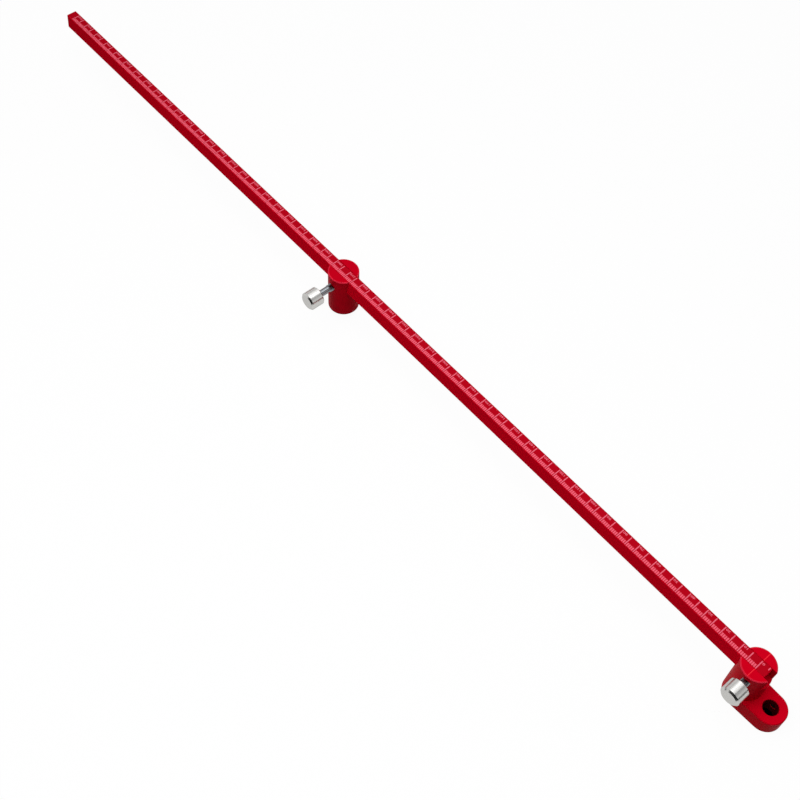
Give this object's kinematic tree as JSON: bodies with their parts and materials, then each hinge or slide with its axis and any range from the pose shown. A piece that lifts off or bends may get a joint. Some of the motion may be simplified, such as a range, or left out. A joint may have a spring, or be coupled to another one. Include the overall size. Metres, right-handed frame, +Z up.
{
  "type": "beam compass",
  "caption": "Beam compass: a long graduated dovetail beam, a sliding block with a centre point and a head with a pencil bore, each clamped by a thumb screw.",
  "frame": {"origin": "where the pencil bore's axis meets the plane that the head block stands on", "axes": "+X along the beam from the pencil towards the far end, +Y towards the thumb screws, +Z up, out of the pencil bore"},
  "size_m": [0.5468, 0.0318, 0.0311],
  "materials": {
    "beam_anodised": "red anodised, satin",
    "block_anodised": "red anodised, satin",
    "knob_satin": "satin, turned",
    "screw_steel": "bright plated",
    "pad_brass": "turned",
    "needle_steel": "hardened, ground",
    "set_screw_steel": "black oxide",
    "plug_nylon": "natural nylon"
  },
  "bodies": {
    "beam": {"beam": "beam_anodised"},
    "slider": {"slider_block": "block_anodised", "pivot_needle": "needle_steel"},
    "slider_pad": {"slider_clamp_pad": "pad_brass"},
    "slider_thumb_screw": {"slider_clamp_screw": "screw_steel", "slider_knob": "knob_satin"},
    "head": {"head_block": "block_anodised"},
    "head_pad": {"head_clamp_pad": "pad_brass"},
    "head_thumb_screw": {"head_clamp_screw": "screw_steel", "head_knob": "knob_satin"},
    "grip_plug": {"pencil_grip_plug": "plug_nylon"},
    "set_screw": {"pencil_set_screw": "set_screw_steel"}
  },
  "joints": [
    {"name": "slider_slide", "type": "slide", "parent": "beam", "child": "slider", "axis": [1, 0, 0], "range_m": [-0.25, 0.247]},
    {"name": "slider_pad_feed", "type": "slide", "parent": "slider", "child": "slider_pad", "axis": [0, 1, 0], "range_m": [0, 0.0014]},
    {"name": "slider_screw_turn", "type": "hinge", "parent": "slider_pad", "child": "slider_thumb_screw", "pos_m": [0.2872, 0.008, 0.0243], "axis": [0, 1, 0], "range_deg": [0, 720]},
    {"name": "head_slide", "type": "slide", "parent": "beam", "child": "head", "axis": [1, 0, 0], "range_m": [-0.002, 0.005]},
    {"name": "head_pad_feed", "type": "slide", "parent": "head", "child": "head_pad", "axis": [0, 1, 0], "range_m": [0, 0.0014]},
    {"name": "head_screw_turn", "type": "hinge", "parent": "head_pad", "child": "head_thumb_screw", "pos_m": [0.0134, 0.008, 0.0263], "axis": [0, 1, 0], "range_deg": [0, 720]},
    {"name": "grip_plug_feed", "type": "slide", "parent": "head", "child": "grip_plug", "axis": [0, 1, 0], "range_m": [0, 0.001]},
    {"name": "set_screw_turn", "type": "hinge", "parent": "grip_plug", "child": "set_screw", "pos_m": [0, -0.0076, 0.0048], "axis": [0, 1, 0], "range_deg": [0, 720]}
  ],
  "couplings": [
    {"joint": "slider_screw_turn", "follows": "slider_pad_feed", "rad_per_m": 8976},
    {"joint": "head_screw_turn", "follows": "head_pad_feed", "rad_per_m": 8976},
    {"joint": "set_screw_turn", "follows": "grip_plug_feed", "rad_per_m": 12566}
  ]
}
